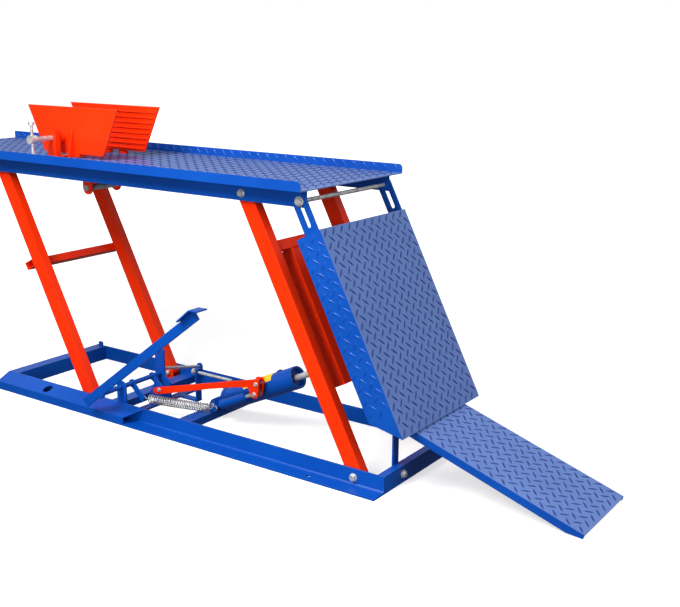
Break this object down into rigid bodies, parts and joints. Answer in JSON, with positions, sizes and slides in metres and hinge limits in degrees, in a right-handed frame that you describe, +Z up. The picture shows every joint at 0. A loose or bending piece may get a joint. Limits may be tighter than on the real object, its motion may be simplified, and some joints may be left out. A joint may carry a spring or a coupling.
{
  "type": "motorcycle lift",
  "caption": "Foot-pumped parallelogram lift table for a motorcycle, with a wheel vise, a hinged drop ramp, a fixed load ramp and a hydraulic jack",
  "frame": {"origin": "on the floor at the centre of the four floor anchor holes of the base", "axes": "+X along the lift towards its load ramp, +Y across it, +Z up"},
  "size_m": [2.5373, 0.562, 0.958],
  "materials": {
    "blue_paint": "gloss powder coat",
    "red_paint": "gloss powder coat",
    "zinc_steel": "zinc plated",
    "bright_steel": "ground and plated",
    "spring_steel": "zinc plated wire",
    "yellow_label": "bare printed film"
  },
  "bodies": {
    "base": {"base_rail_near": "blue_paint", "base_rail_far": "blue_paint", "base_beam_rear": "blue_paint", "base_beam_front": "blue_paint", "crossmember_wide": "blue_paint", "crossmember_jack": "blue_paint", "crossbar_thin": "blue_paint", "toe_guard": "blue_paint", "load_ramp": "blue_paint", "ramp_posts": "blue_paint", "ramp_post_bolts": "zinc_steel", "base_pivot_bolts_rear": "zinc_steel", "base_pivot_bolts_front": "zinc_steel", "jack_lugs": "blue_paint", "jack_base_pin": "zinc_steel", "pedal_bracket_near": "blue_paint", "pedal_bracket_tall": "blue_paint", "release_guide": "blue_paint", "stay_rod": "zinc_steel"},
    "front_arms": {"arm_front_near": "red_paint", "arm_front_far": "red_paint", "crossbar_arms_front": "red_paint"},
    "rear_arms": {"arm_rear_near": "red_paint", "arm_rear_far": "red_paint", "crossbar_arms_rear": "red_paint", "ram_channel": "red_paint", "ram_ears": "red_paint"},
    "deck": {"deck_plate": "blue_paint", "deck_skirts": "blue_paint", "deck_crossmembers": "blue_paint", "deck_pivot_bolts_rear": "zinc_steel", "deck_pivot_bolts_front": "zinc_steel", "hanging_rod": "zinc_steel", "hanging_rod_nuts": "zinc_steel", "vise_base": "red_paint", "vise_jaw_fixed": "red_paint", "vise_lugs": "red_paint", "vise_roller": "zinc_steel"},
    "vise_jaw": {"vise_jaw_moving": "red_paint"},
    "vise_screw": {"vise_spindle": "zinc_steel", "vise_handle": "zinc_steel"},
    "drop_ramp": {"drop_ramp_plate": "blue_paint", "drop_ramp_arms": "blue_paint"},
    "jack_body": {"jack_cylinder": "blue_paint", "jack_base_block": "blue_paint", "jack_fill_plug": "blue_paint", "jack_label": "yellow_label", "pump_barrel": "blue_paint"},
    "jack_ram": {"ram_rod": "bright_steel", "ram_pin": "zinc_steel"},
    "pump_piston": {"pump_piston": "zinc_steel"},
    "pump_link": {"pump_link": "red_paint", "pump_link_bolts": "zinc_steel"},
    "pedal": {"pedal_bar": "blue_paint", "pedal_foot_plate": "blue_paint", "pedal_shaft": "blue_paint", "spring_lever": "blue_paint", "link_lever": "blue_paint", "return_spring": "spring_steel"},
    "release": {"release_rod": "zinc_steel"}
  },
  "joints": [
    {"name": "front_arms_swing", "type": "hinge", "parent": "base", "child": "front_arms", "pos_m": [-0.37, 0, 0.025], "axis": [0, -1, 0], "range_deg": [0, 50.7]},
    {"name": "rear_arms_swing", "type": "hinge", "parent": "base", "child": "rear_arms", "pos_m": [0.672, 0, 0.025], "axis": [0, -1, 0], "range_deg": [0, 51.7]},
    {"name": "deck_level", "type": "hinge", "parent": "front_arms", "child": "deck", "pos_m": [-0.75206, 0, 0.76522], "axis": [0, -1, 0], "range_deg": [-51.7, 0]},
    {"name": "drop_ramp_swing", "type": "hinge", "parent": "deck", "child": "drop_ramp", "pos_m": [0.493, 0, 0.762], "axis": [0, -1, 0], "range_deg": [0, 62.5]},
    {"name": "jack_swing", "type": "hinge", "parent": "base", "child": "jack_body", "pos_m": [0.018, 0, 0.044], "axis": [0, -1, 0], "range_deg": [-23.5, 0]},
    {"name": "ram_stroke", "type": "slide", "parent": "jack_body", "child": "jack_ram", "axis": [0.9078, 0, 0.4193], "range_m": [-0.185, 0]},
    {"name": "pedal_press", "type": "hinge", "parent": "base", "child": "pedal", "pos_m": [-0.221, 0, 0.101], "axis": [0, 1, 0], "range_deg": [0, 30], "stiffness_Nm_per_rad": 8, "springref_deg": -34.38, "deforming": ["return_spring"]},
    {"name": "pump_stroke", "type": "slide", "parent": "jack_body", "child": "pump_piston", "axis": [0.9078, 0, 0.4193], "range_m": [-0.0285, 0]},
    {"name": "link_swing", "type": "hinge", "parent": "pump_piston", "child": "pump_link", "pos_m": [0.22092, 0, 0.13171], "axis": [0, -1, 0], "range_deg": [0, 11.62]},
    {"name": "release_slide", "type": "slide", "parent": "base", "child": "release", "axis": [1, 0, 0], "range_m": [-0.01, 0]},
    {"name": "vise_close", "type": "slide", "parent": "deck", "child": "vise_jaw", "axis": [0, 1, 0], "range_m": [0, 0.061]},
    {"name": "vise_turn", "type": "hinge", "parent": "vise_jaw", "child": "vise_screw", "pos_m": [-0.56, -0.16, 0.86], "axis": [0, 1, 0], "range_deg": [0, 4400]}
  ],
  "couplings": [
    {"joint": "rear_arms_swing", "follows": "front_arms_swing", "ratio": 1},
    {"joint": "deck_level", "follows": "front_arms_swing", "ratio": -1},
    {"joint": "drop_ramp_swing", "follows": "front_arms_swing", "ratio": 1.2209},
    {"joint": "jack_swing", "follows": "front_arms_swing", "ratio": -0.44362},
    {"joint": "ram_stroke", "follows": "front_arms_swing", "m_per_rad": -0.20691},
    {"joint": "link_swing", "follows": "front_arms_swing", "ratio": 0.20951},
    {"joint": "pump_stroke", "follows": "pedal_press", "m_per_rad": -0.051566},
    {"joint": "vise_turn", "follows": "vise_close", "rad_per_m": 1256.6}
  ]
}
